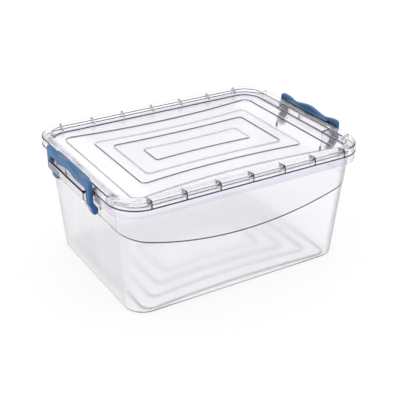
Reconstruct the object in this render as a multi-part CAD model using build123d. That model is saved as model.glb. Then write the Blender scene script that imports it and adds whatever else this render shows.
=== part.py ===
"""Clear storage box with a lift-off lid and two end clips.

Four moulded pieces: the tub, the lid and the two clips.  Millimetres, +Z up, +X along the
length, origin on the floor under the middle of the box.
"""
from build123d import *
import os

# ---- driving dimensions -------------------------------------------------------------
# tub
FOOT_L, FOOT_W, FOOT_R = 322.4, 234.4, 28.0      # outline of the foot
MOUTH_L, MOUTH_W, MOUTH_R = 345.0, 257.0, 29.0   # outer wall where it meets the flange
RIM_Z = 159.0                                    # top of the tub's flange
WALL = 1.7
FOOT_FILLET = 3.0
STEP_WALL = 1.0
FLOOR_HIGH, FLOOR_LOW = 1.6, 0.6                 # underside inside rings 1 and 3, and 2 and 4
FLOOR_RINGS = (                                  # half length, half width at ends and middle, corner
    (142.5, 112.5, 105.5, 14.0),
    (122.0, 91.0, 83.0, 10.0),
    (100.0, 65.0, 60.0, 8.0),
    (77.5, 40.0, 36.0, 6.0),
)
# flange shared by tub and lid
RIM_L, RIM_W, RIM_R = 364.0, 276.0, 40.0
SKIRT_DROP = 11.5
EDGE_R = 0.6                                     # rounding of the flange's and the ledges' top edges
# raised upper panel whose lower edge is one long arc round the body
BAND_RISE = 0.7
ARC_R = 473.0
ARC_LOW_Z = 85.5
# ledge and hinge ears at each end
LEDGE_ROOT_X = 165.0                             # inside the end wall
LEDGE_X = 192.8
LEDGE_HALF = 54.0
LEDGE_DROP = 12.5
LEDGE_CORNER_R = 1.5
EAR_ROOT_X = 168.0
EAR_X = 190.0
EAR_TOP, EAR_DROP, ROOT_DROP = 2.0, 22.0, 31.0   # web's top, its foot and its root, below the flange
EAR_R = 4.5
PIVOT_X, PIVOT_Z = 181.8, 131.9
PIN_R, PIN_BORE_R = 2.5, 2.57
# lid
LID_H = 10.6
LID_DRAFT = 4.0
LID_EDGE_R = 0.5                                 # rounding of the lid's lower outer edge
SHOULDER_R = 3.0
CREST_INSET = 12.7                               # inner edge of the rim's crest
FOOT_INSET = 14.5                                # foot of the rim's inner wall
BASIN_R = 1.5                                    # rounding at that foot
PANEL_TOP = 0.8                                  # panel above the flange
PANEL_T = 1.6
PLUG_INSET = 11.8
PLUG_DROP = 2.8
PLUG_WALL = 1.8
PLUG_FLARE = 0.6                                 # how far the channel's inner wall leans outwards
RIB_T = 1.6
RIB_LOW, RIB_HIGH = 0.6, 9.6                     # webs' lower and upper edge above the flange
RIB_PITCH_X = 47.33
RIB_PITCH_Y = 98.0
BAND_DEPTH = 1.3
BAND_WALL = 1.2
LID_RINGS = (
    (149.7, 107.6, 95.2, 11.0),
    (121.0, 73.8, 66.4, 7.5),
    (102.4, 51.0, 47.6, 6.0),
    (72.8, 20.2, 17.4, 4.0),
)
# clip
CLIP_OUT, CLIP_IN = 190.2, 184.4                 # outer and inner face of the strap
LEG_OUT, LEG_IN, LEG_TIP = 66.6, 55.0, 64.0
CREST_Z, DIP_Z, END_Z = 17.6, 13.0, 16.3         # top edge above the flange
HUMP_Z, LOW_Z = 6.3, 2.9                         # lower edge above the flange
DIP_Y, END_Y = 36.0, 58.5
FLAT_Y, SAG_Y, SAG = 50.0, 22.0, 0.3             # lower edge: straight beyond FLAT_Y, lowest at SAG_Y
LEG_SPLAY_DROP = 10.0                            # below this the leg narrows to its tip
SHOULDER_OUT_R, SHOULDER_IN_R = 5.0, 4.0         # corners between grip and legs
BEND_R = 5.0                                     # bends of the cranked leg, seen from the side
CLIP_FILLET = 1.6
FOOT_PAD_R = 3.9
LIP_X, LIP_Z, LIP_HALF = 179.8, 10.95, 48.0      # tip, underside and half length of the hooked lip
LIP_TIP_T, LIP_ROOT_T = 0.7, 1.3


def slab(length, width, radius, z):
    """Rounded rectangle lying at height z."""
    return Plane.XY.offset(z) * RectangleRounded(length, width, radius)


def prism(length, width, radius, z0, z1, draft=0.0):
    """Rounded rectangle extruded from z0 to z1, narrowing upwards by the draft angle."""
    return extrude(slab(length, width, radius, z0), amount=z1 - z0, taper=draft)


def tapered(bottom, top):
    """Straight-sided loft between two rounded rectangles."""
    return loft([slab(*bottom), slab(*top)], ruled=True)


def pinched(half_l, half_end, half_mid, corner, z, grow=0.0):
    """Rounded rectangle whose long sides bow inwards, lying at height z."""
    a, b, m = half_l + grow, half_end + grow, half_mid + grow
    outline = [
        Line((-a, -b), (-a, b)),
        ThreePointArc((-a, b), (0, m), (a, b)),
        Line((a, b), (a, -b)),
        ThreePointArc((a, -b), (0, -m), (-a, -b)),
    ]
    face = make_face(outline)
    return Plane.XY.offset(z) * fillet(face.vertices(), corner + grow)


def rounded(face, corners, radius):
    """Flat face with the named corners rounded."""
    return fillet([face.vertices().sort_by_distance((x, y, 0))[0] for x, y in corners], radius)


def mirrored_pair(solid):
    """A solid and its mirror image across the YZ plane."""
    return [solid, mirror(solid, about=Plane.YZ)]


def wall_size(z, outset=0.0):
    """Outer length, width and corner radius of the tub's wall at height z."""
    t = z / RIM_Z
    length = FOOT_L + (MOUTH_L - FOOT_L) * t + 2 * outset
    width = FOOT_W + (MOUTH_W - FOOT_W) * t + 2 * outset
    return length, width, FOOT_R + (MOUTH_R - FOOT_R) * t + outset


# ---- tub ----------------------------------------------------------------------------
def tub_body():
    """Tapered outer wall with its rounded foot."""
    body = tapered((*wall_size(0), 0), (*wall_size(RIM_Z), RIM_Z))
    return fillet(body.edges().group_by(Axis.Z)[0], FOOT_FILLET)


def upper_band():
    """Slightly prouder wall above one long arc that dips in the middle of the long sides."""
    z0 = ARC_LOW_Z - 5
    skin = tapered((*wall_size(z0, BAND_RISE), z0), (*wall_size(RIM_Z - 1, BAND_RISE), RIM_Z - 1))
    arc = Plane.XZ.offset(-RIM_W) * Pos(0, ARC_LOW_Z + ARC_R) * Circle(ARC_R)
    return skin & extrude(arc, amount=2 * RIM_W)


def flange():
    """Flat flange with a turned-down skirt."""
    block = prism(RIM_L, RIM_W, RIM_R, RIM_Z - SKIRT_DROP, RIM_Z)
    block = fillet(block.edges().group_by(Axis.Z)[-1], EDGE_R)
    return block - prism(RIM_L - 2 * WALL, RIM_W - 2 * WALL, RIM_R - WALL, 0, RIM_Z - WALL)


def ledge():
    """Flat-topped box at the +X end, between the clip's legs."""
    x0, x1 = LEDGE_ROOT_X, LEDGE_X
    box = Pos((x0 + x1) / 2, 0, RIM_Z - LEDGE_DROP / 2) * Box(x1 - x0, 2 * LEDGE_HALF, LEDGE_DROP)
    box = fillet(box.edges().filter_by(Axis.Z).group_by(Axis.X)[-1], LEDGE_CORNER_R)
    top_edges = [e for e in box.edges().group_by(Axis.Z)[-1] if e.center().X > x0 + 1]
    return fillet(top_edges, EDGE_R)


def ledge_hollow():
    """Space under the ledge, open downwards."""
    x0, x1 = LEDGE_ROOT_X, LEDGE_X - WALL
    depth = 60.0
    size = (x1 - x0, 2 * (LEDGE_HALF - WALL), depth)
    return Pos((x0 + x1) / 2, 0, RIM_Z - WALL - depth / 2) * Box(*size)


def ear():
    """Gusset under the +Y end of the +X ledge, rounded about the clip's pivot."""
    x0, middle = EAR_ROOT_X, RIM_Z - (EAR_TOP + EAR_DROP) / 2
    web = Pos((x0 + EAR_X) / 2, middle) * Rectangle(EAR_X - x0, EAR_DROP - EAR_TOP)
    neck = Pos(PIVOT_X, (PIVOT_Z + middle) / 2) * Rectangle(2 * EAR_R, middle - PIVOT_Z)
    lobe = Pos(PIVOT_X, PIVOT_Z) * Circle(EAR_R) + neck
    root = Polyline(
        (x0, middle), (x0, RIM_Z - ROOT_DROP), (PIVOT_X, PIVOT_Z - EAR_R), (PIVOT_X, middle), close=True)
    profile = web + lobe + make_face(root) - Pos(PIVOT_X, PIVOT_Z) * Circle(PIN_BORE_R)
    return extrude(Plane.XZ.offset(-LEDGE_HALF) * profile, amount=WALL)


def floor_steps(body):
    """Floor that steps up inside one ring and part of the way down inside the next, twice."""
    level = 0.0
    for outer, inner in (FLOOR_RINGS[:2], FLOOR_RINGS[2:]):
        body += extrude(pinched(*outer, level, grow=STEP_WALL), amount=FLOOR_HIGH + WALL - level)
        body -= extrude(pinched(*outer, level - 5), amount=FLOOR_HIGH - level + 5)
        body -= extrude(pinched(*inner, FLOOR_LOW + WALL, grow=-STEP_WALL), amount=10)
        body += extrude(pinched(*inner, FLOOR_LOW), amount=WALL)
        level = FLOOR_LOW
    return body


def make_tub():
    shell = tub_body() + upper_band() + flange()
    ledges = mirrored_pair(ledge())
    hollows = mirrored_pair(ledge_hollow())
    shell = shell + ledges
    cut = hollows[0] - tub_body() + (hollows[1] - tub_body())
    shell = shell - cut
    ears = [e for side in (ear(), mirror(ear(), about=Plane.XZ)) for e in mirrored_pair(side)]
    shell = shell + ears
    low = wall_size(WALL, -WALL)
    high = wall_size(RIM_Z + 1, -WALL)
    cavity = tapered((*low, WALL), (*high, RIM_Z + 1))
    cavity = fillet(cavity.edges().group_by(Axis.Z)[0], FOOT_FILLET - WALL / 2)
    return floor_steps(shell - cavity)


# ---- lid ----------------------------------------------------------------------------
def inset_size(inset):
    """Length, width and corner radius of the rim's outline, moved inwards."""
    return RIM_L - 2 * inset, RIM_W - 2 * inset, RIM_R - inset


def lid_rim():
    """Raised hollow rim round the lid, solid at this stage."""
    block = prism(RIM_L, RIM_W, RIM_R, RIM_Z, RIM_Z + LID_H, LID_DRAFT)
    block = fillet(block.edges().group_by(Axis.Z)[-1], SHOULDER_R)
    block = fillet(block.edges().group_by(Axis.Z)[0], LID_EDGE_R)
    basin = tapered((*inset_size(FOOT_INSET), RIM_Z + PANEL_TOP), (*inset_size(CREST_INSET), RIM_Z + LID_H))
    basin = fillet(basin.edges().group_by(Axis.Z)[0], BASIN_R)
    return block - basin


def rim_channel():
    """Channel moulded up into the underside of the rim."""
    low, high = RIM_Z - 1, RIM_Z + LID_H
    outer = prism(RIM_L - 2 * WALL, RIM_W - 2 * WALL, RIM_R - WALL, low, high - WALL, LID_DRAFT)
    return outer - tapered((*inset_size(PLUG_INSET), low), (*inset_size(PLUG_INSET - PLUG_FLARE), high))


def plug_lip():
    """Locating lip that drops just inside the tub's mouth."""
    outer = prism(*inset_size(PLUG_INSET), RIM_Z - PLUG_DROP, RIM_Z + 0.5)
    inner = prism(*inset_size(PLUG_INSET + PLUG_WALL), RIM_Z - PLUG_DROP - 1, RIM_Z - 1.0)
    return outer - inner


def rim_ribs():
    """Thin webs across the channel: seven on each long side, three on each short side."""
    reach = PLUG_INSET - 0.5
    across = Box(RIB_T, reach, RIB_HIGH - RIB_LOW)
    along = Box(reach, RIB_T, RIB_HIGH - RIB_LOW)
    mid = RIM_Z + (RIB_LOW + RIB_HIGH) / 2
    ribs = []
    for side in (-1, 1):
        y = side * (RIM_W / 2 - 1 - reach / 2)
        x = side * (RIM_L / 2 - 1 - reach / 2)
        ribs += [Pos(n * RIB_PITCH_X, y, mid) * across for n in range(-3, 4)]
        ribs += [Pos(x, n * RIB_PITCH_Y, mid) * along for n in (-1, 0, 1)]
    return ribs


def sunk_band(outer, inner, z, height, grow):
    """Band between two pinched rings."""
    big = extrude(pinched(*outer, z, grow=grow), amount=height)
    small = extrude(pinched(*inner, z - 1, grow=-grow), amount=height + 2)
    return big - small


def make_lid():
    top = RIM_Z + PANEL_TOP
    lid = lid_rim() - rim_channel() + plug_lip()
    lid = lid + rim_ribs()
    lid = lid - prism(*inset_size(PLUG_INSET + PLUG_WALL), RIM_Z - 20, top - PANEL_T)
    for outer, inner in (LID_RINGS[:2], LID_RINGS[2:]):
        lid += sunk_band(outer, inner, top - PANEL_T - BAND_DEPTH, PANEL_T, BAND_WALL)
        lid -= sunk_band(outer, inner, top - BAND_DEPTH, 2 * BAND_DEPTH, 0.0)
    return lid


# ---- clip ---------------------------------------------------------------------------
def strap_outline():
    """Front view of the clip in Y and Z: wavy grip on two legs."""
    end, low_z = RIM_Z + END_Z, RIM_Z + LOW_Z
    foot = PIVOT_Z - FOOT_PAD_R - 1
    dip, sag = RIM_Z + DIP_Z, low_z - SAG
    crest = [(-END_Y, end), (-DIP_Y, dip), (0, RIM_Z + CREST_Z), (DIP_Y, dip), (END_Y, end)]
    hump = [(FLAT_Y, low_z), (SAG_Y, sag), (0, RIM_Z + HUMP_Z), (-SAG_Y, sag), (-FLAT_Y, low_z)]
    leg = [
        (END_Y, end), (LEG_OUT, end), (LEG_OUT, RIM_Z - LEG_SPLAY_DROP), (LEG_TIP, foot), (LEG_IN, foot),
        (LEG_IN, low_z), (FLAT_Y, low_z)]
    right = Polyline(*leg)
    left = Polyline(*[(-y, z) for y, z in reversed(leg)])
    top = Spline(*crest, tangents=[(1, 0), (1, 0)])
    low = Spline(*hump, tangents=[(-1, 0), (-1, 0)])
    face = make_face([top, *right.edges(), low, *left.edges()])
    face = rounded(face, [(-LEG_OUT, end), (LEG_OUT, end)], SHOULDER_OUT_R)
    return rounded(face, [(-LEG_IN, low_z), (LEG_IN, low_z)], SHOULDER_IN_R)


def side_profile():
    """Side view of the clip in X and Z: upright leg that cranks in to a round foot."""
    z = RIM_Z
    inner, outer = PIVOT_X - FOOT_PAD_R, PIVOT_X + FOOT_PAD_R
    bends = [(CLIP_IN, z - 12.6), (inner, z - 23), (outer, z - 23.5), (CLIP_OUT, z - 16.5)]
    foot = [(inner, PIVOT_Z - FOOT_PAD_R), (outer, PIVOT_Z - FOOT_PAD_R)]
    outline = [(CLIP_IN, z + 22), *bends[:2], *foot, *bends[2:], (CLIP_OUT, z + 22)]
    face = make_face(Polyline(*outline, close=True))
    return rounded(rounded(face, foot, FOOT_PAD_R - 0.02), bends, BEND_R)


def hook_lip():
    """Lip that reaches in over the lid's shoulder, sloped on top."""
    z = RIM_Z + LIP_Z
    root = CLIP_IN + 1
    section = Polyline((root, z), (LIP_X, z), (LIP_X, z + LIP_TIP_T), (root, z + LIP_ROOT_T), close=True)
    return extrude(Plane.XZ.offset(-LIP_HALF) * make_face(section), amount=2 * LIP_HALF)


def hinge_pins():
    """Pins on the inner faces of both feet."""
    reach = LEG_IN + 1 - (LEDGE_HALF - WALL - 1.0)
    pin = Pos(PIVOT_X, LEG_IN + 1 - reach / 2, PIVOT_Z) * Rot(90, 0, 0) * Cylinder(PIN_R, reach)
    return [pin, mirror(pin, about=Plane.XZ)]


def runs_along(edge):
    """True for an edge that follows the clip's outline, not one straight across it."""
    direction = edge.tangent_at(0.5)
    return edge.geom_type == GeomType.BSPLINE or max(abs(direction.X), abs(direction.Y)) < 0.98


def make_clip():
    """Clip for the +X end."""
    front = extrude(Plane.YZ.offset(150) * strap_outline(), amount=60)
    side = extrude(Plane.XZ.offset(-80) * side_profile(), amount=160)
    body = front & side
    body = fillet([e for e in body.edges() if runs_along(e)], CLIP_FILLET)
    return body + hook_lip() + hinge_pins()


def main():
    os.makedirs("parts", exist_ok=True)
    clip = make_clip()
    nodes = {
        "tub": make_tub(),
        "lid": make_lid(),
        "right_clip": clip,
        "left_clip": mirror(clip, about=Plane.YZ),
    }
    for name, solid in nodes.items():
        box = solid.bounding_box()
        print(name, "solids", len(solid.solids()), "volume", round(solid.volume), box.min, box.max)
        export_step(solid, f"parts/{name}.step")


main()
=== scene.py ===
# %% [markdown]
# # A clear clip-lid storage box
#
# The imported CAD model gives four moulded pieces: the tub, the lid and two clip handles. Their
# shapes are finished, so this script spends its effort on what CAD can't say: how light goes
# through a slightly hazy clear plastic, where corners trap it and turn dark, and how a blue
# moulding shines. Lengths are in metres. +X runs along the box, +Y across it and +Z up.

# %% Load the frame
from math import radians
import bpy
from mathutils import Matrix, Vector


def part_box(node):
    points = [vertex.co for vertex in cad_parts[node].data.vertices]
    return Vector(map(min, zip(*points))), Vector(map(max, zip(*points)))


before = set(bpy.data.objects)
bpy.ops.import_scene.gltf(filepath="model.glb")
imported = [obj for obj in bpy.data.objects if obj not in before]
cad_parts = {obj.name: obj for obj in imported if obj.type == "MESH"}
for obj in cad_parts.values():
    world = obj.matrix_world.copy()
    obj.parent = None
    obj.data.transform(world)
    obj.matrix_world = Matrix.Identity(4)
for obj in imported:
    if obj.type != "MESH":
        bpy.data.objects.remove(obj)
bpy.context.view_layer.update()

# %% Libraries and the size of the CAD model
from types import SimpleNamespace

import bpy
import numpy as np

MM = 0.001

# %% [markdown]
# ## Places on the box
#
# The finishes below follow real features: the seam between lid and tub, the webs inside the rim,
# the ledges at the ends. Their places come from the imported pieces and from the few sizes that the
# box was drawn with, so every pattern lands on its feature. They are in millimetres, up to the
# floor at the end of the script.

# %% Main places, in millimetres
tub_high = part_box("tub")[1] / MM
lid_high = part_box("lid")[1] / MM
RIM_Z = tub_high.z                      # the seam: tub flange below, lid above
RIM_HALF_X, RIM_HALF_Y = 182.0, tub_high.y
RIM_CORNER = 40.0
LEDGE_X, LEDGE_HALF = tub_high.x, 54.0  # outer face and half length of the ledge at each end
CLIP_INNER = 184.4                      # inner face of a clip's grip
print(f"seam at {RIM_Z:.1f} mm, lid top at {lid_high.z:.1f} mm, ledges out to {LEDGE_X:.1f} mm")

# %% [markdown]
# ## Colour and node helpers
#
# A hex colour is written as a screen shows it, and a shader works in linear light, so one function
# turns one into the other. A second small function adds any shader node with its settings and
# links, which keeps a long node tree readable as a list of lines.


# %% Helpers for colours and nodes
def linear(hex_colour):
    """sRGB hex to linear RGBA: the piecewise sRGB curve, undone channel by channel."""
    srgb = np.array([int(hex_colour[i:i + 2], 16) for i in (1, 3, 5)]) / 255
    rgb = np.where(srgb <= 0.04045, srgb / 12.92, ((srgb + 0.055) / 1.055) ** 2.4)
    return (*rgb.tolist(), 1.0)


def add(tree, kind, values=None, **settings):
    """Adds a node. values fills its inputs, by name or number, with a value or an output."""
    node = tree.nodes.new(kind)
    for name, value in settings.items():
        setattr(node, name, value)
    for key, value in (values or {}).items():
        if isinstance(value, bpy.types.NodeSocket):
            tree.links.new(value, node.inputs[key])
        else:
            node.inputs[key].default_value = value
    return node


def empty_tree(owner):
    """Gives a material or world an empty node tree."""
    owner.use_nodes = True
    owner.node_tree.nodes.clear()
    return owner.node_tree


print("warm grey #808078 in linear light:", [round(v, 3) for v in linear("#808078")[:3]])

# %% [markdown]
# ## Masks
#
# A mask is a number from 0 to 1 that says where on the box a finish applies. It could be painted,
# but a painted picture needs a file and blurs when one looks closely. Here each mask is worked out
# from the point's place on the object, so its edges stay as crisp as a moulded corner.


# %% Masks from places
def band(tree, value, low, high, soft=0.1):
    """1 where value lies between low and high, falling to 0 over soft beyond each end."""
    rise = add(tree, "ShaderNodeMapRange", {0: value, 1: low - soft, 2: low, 3: 0.0, 4: 1.0})
    fall = add(tree, "ShaderNodeMapRange", {0: value, 1: high, 2: high + soft, 3: 1.0, 4: 0.0})
    return all_of(tree, rise.outputs[0], fall.outputs[0])


def all_of(tree, first, *others):
    """Masks multiplied: 1 only where every one of them is 1. A plain number weakens the result."""
    for mask in others:
        first = add(tree, "ShaderNodeMath", {0: first, 1: mask}, operation="MULTIPLY").outputs[0]
    return first


def any_of(tree, first, *others):
    """The largest of the masks at each point."""
    for mask in others:
        first = add(tree, "ShaderNodeMath", {0: first, 1: mask}, operation="MAXIMUM").outputs[0]
    return first


# %% [markdown]
# ## Measures that the masks read
#
# Two measures are used again and again. The inset is how far a point lies inside the rim's outline,
# which is a rectangle with round corners. The web distance is how far it lies from the nearest
# web: thin walls stand across the hollow rim at even steps along each side.

# %% The rim's own measures
WEB_STEP_X, WEB_STEP_Y = 47.33, 98.0    # from web to web, on the long sides and at the ends
LEAST, FAR = -1.0, 1000.0               # ends that a band of sizes never comes to


def to_nearest(tree, value, step):
    """Distance to the nearest whole multiple of step: shift by half, wrap, shift back, size."""
    for operation, amount in (("ADD", step / 2), ("FLOORED_MODULO", step), ("SUBTRACT", step / 2)):
        value = add(tree, "ShaderNodeMath", {0: value, 1: amount}, operation=operation).outputs[0]
    return add(tree, "ShaderNodeMath", {0: value}, operation="ABSOLUTE").outputs[0]


def rounded_inset(tree, size, half_x, half_y, corner):
    """Inset from a rounded rectangle: take the corner circles' centres off the point's size in X
    and Y; the distance outside them, less how deep the point lies inside, is taken off the radius.
    Also says whether the point belongs to a long side: 1 there, 0 at an end."""
    def vector(operation, first, second=(0, 0, 0)):
        return add(tree, "ShaderNodeVectorMath", {0: first, 1: second}, operation=operation)

    def number(operation, first, second):
        return add(tree, "ShaderNodeMath", {0: first, 1: second}, operation=operation).outputs[0]

    flat = vector("MULTIPLY", size, (1, 1, 0)).outputs[0]
    past = vector("SUBTRACT", flat, (half_x - corner, half_y - corner, 0)).outputs[0]
    away = vector("LENGTH", vector("MAXIMUM", past).outputs[0]).outputs["Value"]
    xy = add(tree, "ShaderNodeSeparateXYZ", {0: past}).outputs
    depth = number("MINIMUM", number("MAXIMUM", xy["X"], xy["Y"]), 0.0)
    inset = number("SUBTRACT", corner, number("ADD", away, depth))
    return inset, number("GREATER_THAN", xy["Y"], xy["X"])


print(f"webs every {WEB_STEP_X} mm on the long sides and every {WEB_STEP_Y} mm at the ends")

# %% [markdown]
# ## One set of measures for each finish
#
# A finish asks many questions of a point: how high it lies, which way it faces, how far it is from
# a web. Working them out once and handing them to every mask keeps the node tree small. The number
# of surfaces that a ray has met is asked too, because an edge that is plain at first sight
# shouldn't show again, doubled and bent, through the rest of the box. What such a mask shows
# depends on where the view is from, and a bake takes every edge as seen first.

# %% All measures of a point
STEEP, LEVEL, LEVEL_FADE = 0.7, 0.93, 0.04  # how far up a face points: below one, above the other
DIRECT, NEAR, COUNT_FADE = 4.5, 1.5, 0.5    # surfaces that a ray may have met: a few, or one


def measures(tree):
    """Sizes are places without their sign, slope is the sizes of the face's direction, and height
    counts from the seam. direct and near are 1 while a ray has met only a few surfaces, or at most
    one; deep is 1 once it has met more than one. Lengths are in mm."""
    coords = add(tree, "ShaderNodeTexCoord")
    point = add(tree, "ShaderNodeVectorMath", {0: coords.outputs["Object"], "Scale": 1 / MM},
                operation="SCALE").outputs[0]
    place = add(tree, "ShaderNodeSeparateXYZ", {0: point}).outputs
    flat = add(tree, "ShaderNodeVectorMath", {0: point}, operation="ABSOLUTE").outputs[0]
    size = add(tree, "ShaderNodeSeparateXYZ", {0: flat}).outputs
    slope = add(tree, "ShaderNodeVectorMath", {0: coords.outputs["Normal"]}, operation="ABSOLUTE")
    slope = add(tree, "ShaderNodeSeparateXYZ", {0: slope.outputs[0]}).outputs
    height = add(tree, "ShaderNodeMath", {0: place["Z"], 1: RIM_Z}, operation="SUBTRACT")
    inset, long_side = rounded_inset(tree, flat, RIM_HALF_X, RIM_HALF_Y, RIM_CORNER)
    web_x = to_nearest(tree, place["X"], WEB_STEP_X)
    web_y = to_nearest(tree, place["Y"], WEB_STEP_Y)
    depth = add(tree, "ShaderNodeLightPath").outputs["Ray Depth"]
    return SimpleNamespace(
        point=point, place=place, x=size["X"], y=size["Y"], z=place["Z"],
        height=height.outputs[0], slope=slope, inset=inset, long_side=long_side,
        web=add(tree, "ShaderNodeMix", {0: long_side, 2: web_y, 3: web_x}).outputs[0],
        web_facing=add(tree, "ShaderNodeMix",
                       {0: long_side, 2: slope["Y"], 3: slope["X"]}).outputs[0],
        steep=band(tree, slope["Z"], LEAST, STEEP),
        upright=band(tree, slope["Z"], LEAST, LEVEL, LEVEL_FADE),
        level=band(tree, slope["Z"], LEVEL, FAR, LEVEL_FADE),
        direct=band(tree, depth, LEAST, DIRECT, COUNT_FADE),
        near=band(tree, depth, LEAST, NEAR, COUNT_FADE),
        deep=band(tree, depth, NEAR + COUNT_FADE, FAR, COUNT_FADE),
    )


print("one unit of every pattern below is 1 mm")

# %% [markdown]
# ## Dark edges
#
# A sharp corner of clear plastic traps light and reads as a dark line, even in a white studio. A
# ray tracer finds those lines only with a dark room round the box, so they are put in by masks,
# each on the edge that shows it. Where a mask is 1, the plastic lets no light through and takes the
# dark colour. A band is written as low, high and, where its edge is soft, over how much it fades.
#
# The lid's first dark line is its lower edge, which stands on the tub's flange.

# %% The lid's lower edge
DARK = linear("#17171c")
LID_SEAM, OUTER_WALL = (-0.5, 0.75), (-1.0, 1.5)    # heights, and insets of the rim's outer wall


def lid_seam(tree, m):
    """Upright faces low on the rim's outer wall."""
    return all_of(tree, m.upright, band(tree, m.height, *LID_SEAM),
                  band(tree, m.inset, *OUTER_WALL))


print(f"the lid's seam line is {LID_SEAM[1] - LID_SEAM[0]:.2f} mm high")

# %% [markdown]
# ## Rings in the lid's panel
#
# The panel is stiffened by low steps, pressed in along four rings, one inside the other. The steps
# are in the mesh, so the walls that face the eye are found by their slope and height. Walls that
# face away would vanish, so a thin line along each ring joins them up.

# %% A line along a ring
RINGS = (                               # half length, half width at ends and middle, corner
    (149.7, 107.6, 95.2, 11.0),
    (121.0, 73.8, 66.4, 7.5),
    (102.4, 51.0, 47.6, 6.0),
    (72.8, 20.2, 17.4, 4.0),
)
RING_LINES = 0.32, 0.15, 0.2, 0.15      # half widths of their lines, outermost first


def ring_line(tree, m, ring, half_width, soft=0.1):
    """A line along one ring. Its long sides bow inwards like a parabola, so a point's size in Y
    first grows by the bow at its X, which turns the ring into a plain rounded rectangle."""
    half_length, half_end, half_middle, corner = ring
    bow = half_end - half_middle
    square = add(tree, "ShaderNodeMath", {0: m.x, 1: m.x}, operation="MULTIPLY").outputs[0]
    lifted = add(tree, "ShaderNodeMath", {0: square, 1: -bow / half_length ** 2, 2: m.y},
                 operation="MULTIPLY_ADD").outputs[0]
    lifted = add(tree, "ShaderNodeMath", {0: lifted, 1: bow}, operation="ADD").outputs[0]
    flat = add(tree, "ShaderNodeCombineXYZ", {0: m.x, 1: lifted}).outputs[0]
    inset, _ = rounded_inset(tree, flat, half_length, half_end, corner)
    return band(tree, inset, -half_width, half_width, soft)


print("rings' half lengths in mm:", [ring[0] for ring in RINGS])

# %% The lid's rings
RING_WALL, PANEL = (-0.1, 0.7, 0.02), (20.0, FAR, 1.0)          # heights, insets
RING_WALL_DARK, RING_LINE_DARK = 0.85, 0.8                      # strengths
FOOT_HEIGHT, FOOT_INSET = (0.81, 1.45), (12.5, 16.0)            # where the rim meets the panel
FOOT_SLOPE = LEAST, 0.985, 0.01


def panel_rings(tree, m):
    """The steps' steep walls, the lines along the rings, and the foot of the hollow rim."""
    walls = all_of(tree, m.steep, band(tree, m.height, *RING_WALL), band(tree, m.inset, *PANEL),
                   m.direct, RING_WALL_DARK)
    lines = any_of(tree, *(ring_line(tree, m, *pair) for pair in zip(RINGS, RING_LINES)))
    foot = all_of(tree, band(tree, m.slope["Z"], *FOOT_SLOPE),
                  band(tree, m.height, *FOOT_HEIGHT), band(tree, m.inset, *FOOT_INSET), m.direct)
    return any_of(tree, walls, all_of(tree, lines, m.direct, RING_LINE_DARK), foot)


print(f"the rim's foot line is {FOOT_HEIGHT[1] - FOOT_HEIGHT[0]:.2f} mm high")

# %% [markdown]
# ## Webs in the lid's rim
#
# Each web is a thin wall inside the rim. Seen through clear plastic, it shows as two dark lines,
# where it meets the outer and the inner wall, and as a small grey triangle under the crest, a
# painted reflection of the dark of the corner. Webs at the ends and at the back are painted
# fainter.

# %% The lid's webs
ON_WEB, WEB_FACE = (LEAST, 0.6, 0.15), (0.0, 1.1)       # distances from the web's middle
WEB_OUTER = (-1.0, 3.2, 0.3), (0.5, 20.0)               # inset and height of its outer edge
WEB_INNER = (12.2, 14.8), (1.7, 10.0)                   # inset and height of its inner edge
FACES_ALONG, FACE_HEIGHT = (0.9, FAR, 0.05), (0.7, 20.0)
# the face's triangle is a painted reflection, painted fainter towards the back and at the ends
SLANT, ABOVE_SLANT, FACE_DARK = 0.6, (7.8, 40.0, 0.2), 0.8
FRONT_TO_BACK = -100.0, 100.0, 1.0, 0.3                 # from Y, to Y, strength at each
END_WEBS = 0.3                                          # strength of the webs at the ends


def web_edges(tree, m):
    """The two edges of a web, and the part of its face where height + inset * SLANT is large: the
    triangle above a slanting line."""
    start, end, at_front, at_back = FRONT_TO_BACK
    front = add(tree, "ShaderNodeMapRange",
                {0: m.place["Y"], 1: start, 2: end, 3: at_front, 4: at_back})
    side = add(tree, "ShaderNodeMapRange", {0: m.long_side, 3: END_WEBS, 4: 1.0})
    on_web = band(tree, m.web, *ON_WEB)
    outer, inner = (all_of(tree, on_web, band(tree, m.inset, *inset), band(tree, m.height, *height))
                    for inset, height in (WEB_OUTER, WEB_INNER))
    slant = add(tree, "ShaderNodeMath", {0: m.inset, 1: SLANT, 2: m.height},
                operation="MULTIPLY_ADD").outputs[0]
    face = all_of(tree, band(tree, m.web, *WEB_FACE), band(tree, m.web_facing, *FACES_ALONG),
                  band(tree, slant, *ABOVE_SLANT), band(tree, m.height, *FACE_HEIGHT), FACE_DARK)
    return all_of(tree, any_of(tree, outer, inner, face), side.outputs[0], front.outputs[0])


print(f"webs at the ends have {END_WEBS:.0%} of the strength of those at the front")

# %% [markdown]
# ## What the clear rim shows of the clips
#
# These are guesses, painted shade and reflections of the clips. A grey strip of painted shade lies
# on the rim's outer wall under each grip, and a dark mark of painted shade where each of a clip's
# legs passes close by. A fainter mark, a painted reflection of the leg, stands beside each leg. It
# is drawn for the two front legs only, because at the back it would just thicken the lines that
# cross there.

# %% The lid's painted shade and reflections of the clips
# painted shade of each grip, seen through the rim
STRIP_X, STRIP_Y, STRIP_HEIGHT = (179.5, FAR), (LEAST, 50.0, 2.0), (1.2, 9.5, 0.5)
STRIP_DARK, LEG_Y = 0.78, (56.0, 65.5, 1.0)
# painted shade where the legs pass, and a painted reflection beside the front legs
LID_LEGS = (180.0, FAR), (-1.0, 3.0, 1.0), 0.5          # X, height, strength
LID_MIRRORED = (179.5, FAR), (-70.0, -62.0, 3.0), (0.0, 7.0, 1.0), 0.35     # X, Y, height, strength


def painted_grip_shade(tree, m):
    """Painted shade of a grip, seen through the rim. The strips show only once a ray has met two
    surfaces, so through the rim and not from outside. They depend on where the view is from, and a
    bake leaves them out."""
    return all_of(tree, band(tree, m.x, *STRIP_X), band(tree, m.y, *STRIP_Y),
                  band(tree, m.height, *STRIP_HEIGHT), m.deep, STRIP_DARK)


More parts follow.
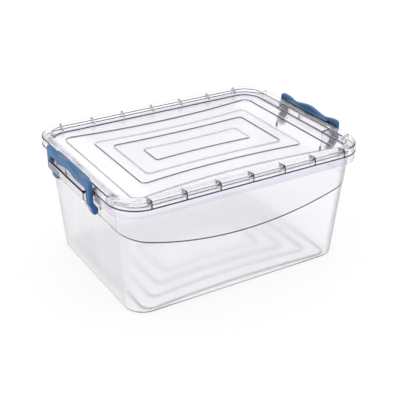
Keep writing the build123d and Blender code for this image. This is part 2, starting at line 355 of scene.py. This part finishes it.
def leg_shade_and_reflection(tree, m, legs, mirrored):
    """Painted shade where the legs pass, and a painted reflection of a leg beside it: a box in X, Y
    and height for each.
    """
    x, height, strength = legs
    passing = all_of(tree, band(tree, m.x, *x), band(tree, m.y, *LEG_Y),
                     band(tree, m.height, *height), strength)
    x, y, height, strength = mirrored
    beside = all_of(tree, band(tree, m.x, *x), band(tree, m.place["Y"], *y),
                    band(tree, m.height, *height), strength)
    return any_of(tree, passing, beside)


def lid_edges(tree, m):
    """Every dark edge and mark of the lid: the strongest at each point."""
    return any_of(tree, lid_seam(tree, m), panel_rings(tree, m), web_edges(tree, m),
                  painted_grip_shade(tree, m), leg_shade_and_reflection(tree, m, LID_LEGS, LID_MIRRORED))


print(f"a leg passes the rim from Y {LEG_Y[0]} to {LEG_Y[1]} mm, on both sides of the middle")

# %% [markdown]
# ## The tub's flange
#
# The flange is the tub's top edge, which the lid stands on. It shows three dark lines: the seam all
# round outside, the mouth where the wall turns into the flange, and the thin lip that the lid drops
# over. At the ends the lip stands 2 mm further in.

# %% The tub's flange
TUB_SEAM, TUB_SEAM_INSET = (-0.9, 1.0), (-20.0, 1.5)
MOUTH_HEIGHT, MOUTH_INSET, MOUTH_DARK = (-0.9, 1.0), (10.0, 13.0), 0.5
LIP_HEIGHT, LIP_INSET, LIP_DARK, LIP_AT_ENDS = (-0.2, 1.0), (8.6, 11.3), 0.7, 2.0
# painted shade where the clips' legs pass, and a painted reflection beside the front legs
TUB_LEGS = (180.5, RIM_HALF_X + 0.3), (-5.0, 1.2, 1.0), 0.85
TUB_MIRRORED = (180.0, RIM_HALF_X + 0.3), (-76.0, -65.0, 3.0), (-12.0, 1.0), 0.3


def flange_edges(tree, m):
    """The seam, the mouth and the lip, and the painted shade and reflection of the clips' legs."""
    seam = all_of(tree, m.upright, band(tree, m.height, *TUB_SEAM),
                  band(tree, m.inset, *TUB_SEAM_INSET))
    mouth = all_of(tree, m.steep, band(tree, m.height, *MOUTH_HEIGHT),
                   band(tree, m.inset, *MOUTH_INSET), MOUTH_DARK)
    shift = add(tree, "ShaderNodeMapRange", {0: m.long_side, 3: LIP_AT_ENDS, 4: 0.0}).outputs[0]
    inset = add(tree, "ShaderNodeMath", {0: m.inset, 1: shift}, operation="SUBTRACT").outputs[0]
    lip = all_of(tree, m.level, band(tree, m.height, *LIP_HEIGHT), band(tree, inset, *LIP_INSET),
                 LIP_DARK)
    return any_of(tree, seam, mouth, lip, leg_shade_and_reflection(tree, m, TUB_LEGS, TUB_MIRRORED))


print(f"the tub's seam line is {TUB_SEAM[1] - TUB_SEAM[0]:.2f} mm high")

# %% [markdown]
# ## The ledges that carry the clips
#
# A ledge sticks out at each end, under the clip. It is the thickest part of the tub, with the
# sharpest corners, so its lines are the darkest on the box. The root is where its end web runs
# down into the wall and stops in a short dark dash.

# %% The tub's ledges
LEDGE_TOP_X, LEDGE_TOP = (RIM_HALF_X + 0.3, FAR), (-2.6, 1.0)           # X and height of each
LEDGE_END_X, LEDGE_END = (168.0, FAR), (-3.2, 1.0)
LEDGE_END_Y = LEDGE_HALF - 0.8, LEDGE_HALF + 1
CORNER_EDGE_X, CORNER_EDGE_Y = (LEDGE_X - 1.2, FAR), (LEDGE_HALF - 1.2, FAR)
CORNER_EDGE, CORNER_EDGE_DARK = (-12.5, 1.0), 0.6
ROOT_X, ROOT_Y, ROOT_HEIGHT = (166.0, 171.0), (51.0, 55.0), (-31.0, -24.0, 0.2)


def ledge_edges(tree, m):
    """A ledge's top edge, its two ends, its upright corners and the roots of its webs."""
    top = all_of(tree, m.upright, band(tree, m.x, *LEDGE_TOP_X), band(tree, m.height, *LEDGE_TOP))
    end = all_of(tree, band(tree, m.x, *LEDGE_END_X), band(tree, m.y, *LEDGE_END_Y),
                 band(tree, m.height, *LEDGE_END))
    corner = all_of(tree, band(tree, m.x, *CORNER_EDGE_X), band(tree, m.y, *CORNER_EDGE_Y),
                    band(tree, m.height, *CORNER_EDGE), CORNER_EDGE_DARK)
    root = all_of(tree, band(tree, m.x, *ROOT_X), band(tree, m.y, *ROOT_Y),
                  band(tree, m.height, *ROOT_HEIGHT), m.direct)
    return any_of(tree, top, end, corner, root)


print(f"a ledge is {2 * LEDGE_HALF:.0f} mm long")

# %% [markdown]
# ## The tub's walls and floor
#
# The upper part of each wall stands a little proud and ends below in one long arc. That step is the
# boldest line on the tub. The foot is a faint line round the bottom, and the floor's rings are soft
# grey bands, because the haze of the walls blurs them.

# %% The tub's walls and floor
ARC_R, ARC_LOW = 473.0, 85.5            # the long arc, and its lowest point
ARC_BELOW, ARC_ABOVE, ARC_HEIGHT = 0.6, 0.7, (0.0, 140.0, 1.0)
TUB_FOOT_SLOPE, TUB_FOOT_HEIGHT = (LEAST, 0.9, 0.05), (LEAST, 1.6, 0.8)
TUB_FOOT_ENDS, TUB_FOOT_SIDES = 0.5, 0.95   # strengths
FLOOR_RINGS = (                         # half length, half width at ends and middle, corner
    (142.5, 112.5, 105.5, 14.0),
    (122.0, 91.0, 83.0, 10.0),
    (100.0, 65.0, 60.0, 8.0),
    (77.5, 40.0, 36.0, 6.0),
)
FLOOR_LINE, FLOOR_HEIGHT, FLOOR_DARK = (1.0, 2.0), (LEAST, 5.0), 0.14   # half width and fade


def arc_radius(tree, m):
    """Distance from the long arc's centre, high above the middle of the wall."""
    z = add(tree, "ShaderNodeMath", {0: m.z, 1: ARC_LOW + ARC_R}, operation="SUBTRACT").outputs[0]
    xz = add(tree, "ShaderNodeCombineXYZ", {0: m.place["X"], 2: z}).outputs[0]
    return add(tree, "ShaderNodeVectorMath", {0: xz}, operation="LENGTH").outputs["Value"]


def body_edges(tree, m):
    """A narrow band at the arc's radius, the lowest part of the walls, and the floor's rings."""
    arc = all_of(tree, band(tree, arc_radius(tree, m), ARC_R - ARC_ABOVE, ARC_R + ARC_BELOW),
                 band(tree, m.z, *ARC_HEIGHT), m.near)
    strength = add(tree, "ShaderNodeMapRange",
                   {0: m.long_side, 3: TUB_FOOT_ENDS, 4: TUB_FOOT_SIDES}).outputs[0]
    foot = all_of(tree, band(tree, m.slope["Z"], *TUB_FOOT_SLOPE),
                  band(tree, m.z, *TUB_FOOT_HEIGHT), m.near, strength)
    rings = any_of(tree, *(ring_line(tree, m, ring, *FLOOR_LINE) for ring in FLOOR_RINGS))
    rings = all_of(tree, rings, band(tree, m.z, *FLOOR_HEIGHT), FLOOR_DARK)
    return any_of(tree, arc, foot, rings)


def tub_edges(tree, m):
    """Every dark edge and mark of the tub: the strongest at each point."""
    return any_of(tree, flange_edges(tree, m), ledge_edges(tree, m), body_edges(tree, m))


print(f"the long arc has a radius of {ARC_R:.0f} mm and comes down to {ARC_LOW} mm")

# %% [markdown]
# ## Clear plastic
#
# Tub and lid are clear polypropylene, injection moulded in a polished tool. That makes it shiny and
# clear, but never like glass: a faint haze blurs what lies a hand's breadth behind a wall and
# leaves crisp what touches it. The haze could be a volume, which is slow and noisy. A rough
# transmission gives the same look from the surface alone, so the haze is a roughness: one for the
# broad walls and a lower one for the thick, shiny rims.

# %% Where the plastic is thick, and where it is polished
THIN, THICK = linear("#fdfdff"), linear("#f8f7fa")      # let through by a wall, by a raised panel
SKIRT = linear("#eae7f1")               # painted shade: the skirt is seen with the wall behind it, so it is painted darker
ARC_FADE, PANEL_INSET, PANEL_X = 0.1, (35.0, FAR, 5.0), (LEAST, 105.0, 25.0)
POLISHED_TUB = -11.0, FAR, 2.0          # heights of the tub's polished rim
POLISHED_LID, POLISHED_ENDS = (-1.0, 15.0, 1.0), (128.0, FAR, 6.0)      # insets, and X
SKIRT_INSET, SKIRT_HEIGHT = (-20.0, 2.5), (-11.6, -0.5)
# the skirt's painted shade grows from the -X end to the +X end
ALONG_SKIRT = -170.0, 120.0, 0.4, 1.0   # from X, to X, strength at each


def above_arc(tree, m):
    """The raised panel: everything on the walls over the long arc."""
    return band(tree, arc_radius(tree, m), LEAST, ARC_R, ARC_FADE)


def middle_panel(tree, m):
    """The lid's panel inside its first ring, away from the ends."""
    return all_of(tree, band(tree, m.inset, *PANEL_INSET), band(tree, m.x, *PANEL_X))


def tub_rim(tree, m):
    """The flange and the skirt that hangs from it."""
    return band(tree, m.height, *POLISHED_TUB)


def lid_rim(tree, m):
    """The hollow rim, and the plain ends of the panel."""
    return any_of(tree, band(tree, m.inset, *POLISHED_LID), band(tree, m.x, *POLISHED_ENDS))


def skirt(tree, m):
    """The wall that hangs from the flange's outer edge. Its painted shade grows a little along the
    box.
    """
    start, end, at_start, at_end = ALONG_SKIRT
    along = add(tree, "ShaderNodeMapRange",
                {0: m.place["X"], 1: start, 2: end, 3: at_start, 4: at_end})
    return all_of(tree, band(tree, m.inset, *SKIRT_INSET), band(tree, m.height, *SKIRT_HEIGHT),
                  m.upright, along.outputs[0])


print("thin wall lets through", [round(v, 3) for v in THIN[:3]])

# %% [markdown]
# ## Looking along a wall
#
# The plastic's edges look grey because the eye looks along the sheet there, through a lot of it.
# Layer Weight's Facing is 0 where a surface faces the eye and 1 where it is seen edge on. A power
# of it keeps the grey to the very edge. The skirt gets a lower power, because its double wall
# greys sooner, and the upright corners get a wider band.


# %% Grey at grazing angles
GRAZED = linear("#b0b0b4")              # a wall that is looked along is many times as thick
WALL_POWER, SKIRT_POWER = 5.0, 2.5
EVEN = 0.5                              # the setting that leaves Facing as it is
CORNER_X, CORNER_Y, CORNER_FACING = (134.0, FAR, 4.0), (108.0, FAR, 4.0), (0.7, FAR, 0.3)


def grazing(tree, m):
    """Facing raised to a power, or a wide soft band of it at upright corners: whichever is more."""
    facing = add(tree, "ShaderNodeLayerWeight", {0: EVEN}).outputs["Facing"]
    power = add(tree, "ShaderNodeMapRange",
                {0: skirt(tree, m), 3: WALL_POWER, 4: SKIRT_POWER}).outputs[0]
    edge = add(tree, "ShaderNodeMath", {0: facing, 1: power}, operation="POWER").outputs[0]
    corner = all_of(tree, band(tree, m.x, *CORNER_X), band(tree, m.y, *CORNER_Y), m.upright,
                    band(tree, facing, *CORNER_FACING))
    return any_of(tree, edge, corner)


print(f"at 45 degrees, a wall is {(1 - 0.5 ** 0.5) ** WALL_POWER:.1%} of the way to grey")

# %% [markdown]
# ## The shader for both clear mouldings
#
# One Principled shader does the tub and the lid. The dark mask turns its transmission down and its
# colour to the dark one, and takes away its shine, so a dark line stays dark in a white room. The
# melt froze in slow swirls, which leave the haze a little uneven over some 30 mm.

# %% Clear polypropylene, moulded and polished
SWIRL, UNEVEN = 30.0, (0.8, 1.2)        # mm across one swirl, and how far it changes the haze
IOR, SHINE = 1.49, 0.5                  # polypropylene's index, and a plain plastic's shine
BROAD_TUB, BROAD_LID, POLISHED = 0.19, 0.13, 0.03       # roughnesses: the haze


def clear_plastic(name, haze, edges, rim, thick):
    """Tints by thickness, then grey at grazing angles, then dark at the edges. haze is the broad
    walls' roughness; edges, rim and thick are functions that give masks."""
    material = bpy.data.materials.new(name)
    tree = empty_tree(material)
    m = measures(tree)
    dark = edges(tree, m)

    def tinted(mask, below, above):
        mix = add(tree, "ShaderNodeMix", {0: mask, 6: below, 7: above}, data_type="RGBA")
        return mix.outputs[2]

    colour = tinted(thick(tree, m), THIN, THICK)
    colour = tinted(skirt(tree, m), colour, SKIRT)
    colour = tinted(grazing(tree, m), colour, GRAZED)
    swirls = add(tree, "ShaderNodeTexNoise", {"Vector": m.point, "Scale": 1 / SWIRL})
    uneven = add(tree, "ShaderNodeMapRange", {0: swirls.outputs[0], 3: UNEVEN[0], 4: UNEVEN[1]})
    rough = add(tree, "ShaderNodeMapRange", {0: rim(tree, m), 3: haze, 4: POLISHED})
    through = add(tree, "ShaderNodeMapRange", {0: dark, 3: 1.0, 4: 0.0})
    shine = add(tree, "ShaderNodeMapRange", {0: dark, 3: SHINE, 4: 0.0})
    surface = add(tree, "ShaderNodeBsdfPrincipled", {
        "Base Color": tinted(dark, colour, DARK),
        "Roughness": all_of(tree, rough.outputs[0], uneven.outputs[0]),
        "IOR": IOR,
        "Transmission Weight": through.outputs[0],
        "Specular IOR Level": shine.outputs[0],
    })
    add(tree, "ShaderNodeOutputMaterial", {0: surface.outputs[0]})
    print(f"{name}: {len(tree.nodes)} nodes")
    return material


tub_finish = clear_plastic("clear_polypropylene_tub", BROAD_TUB, tub_edges, tub_rim, above_arc)
lid_finish = clear_plastic("clear_polypropylene_lid", BROAD_LID, lid_edges, lid_rim, middle_panel)

# %% [markdown]
# ## Blue plastic
#
# The clip handles are blue polypropylene, injection moulded in a finely blasted tool. The blast
# leaves a satin skin: no sharp reflections, a soft glow where the light grazes it. The pigment is
# never quite even, so the blue wanders a little over 9 mm. On top of that, light and shade are
# painted in: the grips' inner faces, turned to the rim, are painted duller and greyer as shade;
# close to the rim and at the legs' roots a near-black painted shade stands for the little light
# there; and the outer faces get a painted highlight towards the top.
# The tool's grain is about 0.1 mm, too fine to show, so it is drawn 0.8 mm wide and very shallow.

# %% Painted shade and highlight on the clips
INNER_X, ROOT_LEG_X = (0.0, CLIP_INNER + 0.5, 0.5), (0.0, CLIP_INNER + 1.5, 0.5)
OUTER_X = CLIP_INNER + 1.5, FAR, 1.0
# painted shade: the grips' inner faces, turned to the rim, are painted duller and greyer
INNER_FACE_SHADE_HEIGHTS, INNER_FACE_SHADE_SHARE = (-3.0, FAR, 1.0), 0.5       # heights, and how much of the tint
# painted shade: near-black close to the rim and at the legs' roots
BESIDE_RIM, BESIDE_SHARE = (0.0, 11.5, 0.5), 0.45
ROOT_GRIP, ROOT_LEG_Y, ROOT_SHARE = (-4.0, 1.5, 2.0), (48.0, FAR, 2.0), 0.9
# painted highlight: the outer faces get paler towards the top, as lit by the sky
SKY_FROM, SKY_TO, SKY_SHARE = 0.0, 15.0, 0.03


def blue_masks(tree, m):
    """Painted shade on a grip's inner face, painted shade close to the rim and at the legs' roots,
    and a painted highlight that grows up the outer faces, as if lit by the sky.
    """
    inner = band(tree, m.x, *INNER_X)
    inner_face_shade = all_of(tree, inner, band(tree, m.height, *INNER_FACE_SHADE_HEIGHTS), INNER_FACE_SHADE_SHARE)
    beside_rim = all_of(tree, inner, band(tree, m.height, *BESIDE_RIM), BESIDE_SHARE)
    root = all_of(tree, band(tree, m.x, *ROOT_LEG_X), band(tree, m.height, *ROOT_GRIP),
                  band(tree, m.y, *ROOT_LEG_Y), ROOT_SHARE)
    outer = band(tree, m.x, *OUTER_X)
    upper = add(tree, "ShaderNodeMapRange",
                {0: m.height, 1: SKY_FROM, 2: SKY_TO, 3: 0.0, 4: SKY_SHARE})
    return inner_face_shade, any_of(tree, beside_rim, root), all_of(tree, outer, upper.outputs[0])


print(f"a grip's inner face is at {CLIP_INNER} mm, {CLIP_INNER - RIM_HALF_X:.1f} mm off the rim")

# %% Blue polypropylene, moulded in a blasted tool
BLUE, BLUE_LIGHT = linear("#31669c"), linear("#396e9f")
# painted shade for the inner faces, near-black painted shade, and a painted highlight of the sky
INNER_FACE_SHADE, SHADED, SKYLIT = linear("#556c88"), linear("#0c1420"), linear("#b4c4da")
CLOUD, CLOUD_DETAIL, GRAIN = 9.0, 3.0, 0.8      # mm: uneven pigment, and the coarsened grain
GRAIN_DEPTH, GRAIN_STRENGTH = 0.1 * MM, 0.15
SATIN, SATIN_SHINE = (0.32, 0.42), 0.3  # roughness from darker to lighter blue, and shine


def blue_plastic():
    """Mottled blue, then painted duller and greyer, painted shade and a painted highlight by the
    three masks above.
    """
    material = bpy.data.materials.new("satin_blue_polypropylene")
    tree = empty_tree(material)
    m = measures(tree)
    inner_face_shade, shaded, skylit = blue_masks(tree, m)
    cloud = add(tree, "ShaderNodeTexNoise",
                {"Vector": m.point, "Scale": 1 / CLOUD, "Detail": CLOUD_DETAIL}).outputs[0]
    colour = add(tree, "ShaderNodeMix", {0: cloud, 6: BLUE, 7: BLUE_LIGHT}, data_type="RGBA")
    for mask, over in ((skylit, SKYLIT), (inner_face_shade, INNER_FACE_SHADE), (shaded, SHADED)):
        colour = add(tree, "ShaderNodeMix", {0: mask, 6: colour.outputs[2], 7: over},
                     data_type="RGBA")
    rough = add(tree, "ShaderNodeMapRange", {0: cloud, 3: SATIN[0], 4: SATIN[1]})
    grain = add(tree, "ShaderNodeTexNoise", {"Vector": m.point, "Scale": 1 / GRAIN})
    bump = add(tree, "ShaderNodeBump", {"Height": grain.outputs[0], "Strength": GRAIN_STRENGTH,
                                        "Distance": GRAIN_DEPTH})
    surface = add(tree, "ShaderNodeBsdfPrincipled", {
        "Base Color": colour.outputs[2],
        "Roughness": rough.outputs[0],
        "IOR": IOR,
        "Specular IOR Level": SATIN_SHINE,
        "Normal": bump.outputs[0],
    })
    add(tree, "ShaderNodeOutputMaterial", {0: surface.outputs[0]})
    print(f"{material.name}: {len(tree.nodes)} nodes")
    return material


blue_finish = blue_plastic()

# %% [markdown]
# ## Finishes on the four mouldings
#
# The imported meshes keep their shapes, and only their material slots change. Tub and lid get their
# own clear finish, because their edges lie in different places. Both clips share the blue.

# %% Assign the finishes
finishes = {"tub": tub_finish, "lid": lid_finish,
            "left_clip": blue_finish, "right_clip": blue_finish}
for node, finish in finishes.items():
    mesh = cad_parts[node].data
    mesh.materials.clear()
    mesh.materials.append(finish)
    print(f"{node}: {finish.name}")

# %% [markdown]
# ## Floor
#
# The box stands on a sheet of white paper that runs far behind it. A plain white diffuse sheet
# would look grey under it and far off, so what is seen of the paper, straight or through the
# plastic, is mostly even white with a small diffuse part that takes the box's soft shadow. Light
# that bounces from it onto the box comes from the plain diffuse paper alone.

# %% White paper floor
HALF_SIDE, GAP = 6.0, 0.0005            # metres: half the sheet's side, and a gap below the box
PAPER, SHADOW_PART = linear("#e7e7e7"), linear("#7c7c7c")
SEEN, SEEN_THROUGH = 0.83, 0.97         # even white, straight and through the plastic


def paper():
    """Emission for rays that see the paper, diffuse for all, added together."""
    material = bpy.data.materials.new("white_paper")
    tree = empty_tree(material)
    rays = add(tree, "ShaderNodeLightPath").outputs
    seen = any_of(tree, rays["Is Camera Ray"], rays["Is Glossy Ray"], rays["Is Transmission Ray"])
    level = add(tree, "ShaderNodeMapRange",
                {0: rays["Is Transmission Ray"], 3: SEEN, 4: SEEN_THROUGH})
    colour = add(tree, "ShaderNodeMix", {0: seen, 6: PAPER, 7: SHADOW_PART}, data_type="RGBA")
    diffuse = add(tree, "ShaderNodeBsdfDiffuse", {"Color": colour.outputs[2]})
    glow = add(tree, "ShaderNodeEmission", {"Strength": all_of(tree, seen, level.outputs[0])})
    both = add(tree, "ShaderNodeAddShader", {0: diffuse.outputs[0], 1: glow.outputs[0]})
    add(tree, "ShaderNodeOutputMaterial", {0: both.outputs[0]})
    return material


sheet = bpy.data.meshes.new("floor")
corners = [(x * HALF_SIDE, y * HALF_SIDE, -GAP) for x, y in ((-1, -1), (1, -1), (1, 1), (-1, 1))]
sheet.from_pydata(corners, [], [(0, 1, 2, 3)])
sheet.materials.append(paper())
floor = bpy.data.objects.new("floor", sheet)
bpy.context.scene.collection.objects.link(floor)
print(f"floor {2 * HALF_SIDE:.0f} m square")

# %% [markdown]
# ## Light
#
# The box stands in a white tent, with soft light from all round. Lamps would put hard spots on the
# rims, so an evenly white world does it alone. At strength 1, a colour shows about as it is
# written.

# %% White studio world
world = bpy.data.worlds.new("studio")
studio = empty_tree(world)
tent = add(studio, "ShaderNodeBackground", {"Color": linear("#ffffff"), "Strength": 1.0})
add(studio, "ShaderNodeOutputWorld", {0: tent.outputs[0]})
scene = bpy.context.scene
scene.world = world
print("world strength", tent.inputs["Strength"].default_value)

# %% [markdown]
# ## Camera
#
# It looks down on the box from in front and to the left, from over a metre away with a long lens,
# so the far side is only a little smaller than the near side.

# %% Camera
CAMERA_AT = (-0.5642, -0.9596, 0.6468)  # metres
LOOKS_DOWN, TURNED = 27.29, 30.64       # degrees
SENSOR, LENS = 36.0, 80.63              # millimetres
NEAREST = 0.01                          # metres: what is closer isn't drawn
camera = bpy.data.objects.new("camera", bpy.data.cameras.new("camera"))
camera.location = CAMERA_AT
camera.rotation_euler = (radians(90 - LOOKS_DOWN), 0, radians(-TURNED))
camera.data.sensor_width, camera.data.lens = SENSOR, LENS
camera.data.clip_start = NEAREST
scene.collection.objects.link(camera)
scene.camera = camera
print("camera", [round(v, 3) for v in camera.location], "m")

# %% [markdown]
# ## Colour view and bounces
#
# Standard shows each colour as it is. A ray through this box crosses up to a dozen plastic skins,
# twice each, and bounces about in the hollow rim. With too few bounces such rays end black, so they
# get plenty.

# %% Colour view and bounces
BOUNCES = 96
scene.view_settings.view_transform = "Standard"
scene.cycles.max_bounces = BOUNCES
scene.cycles.transmission_bounces = BOUNCES
scene.cycles.glossy_bounces = BOUNCES
print("bounces", scene.cycles.max_bounces)
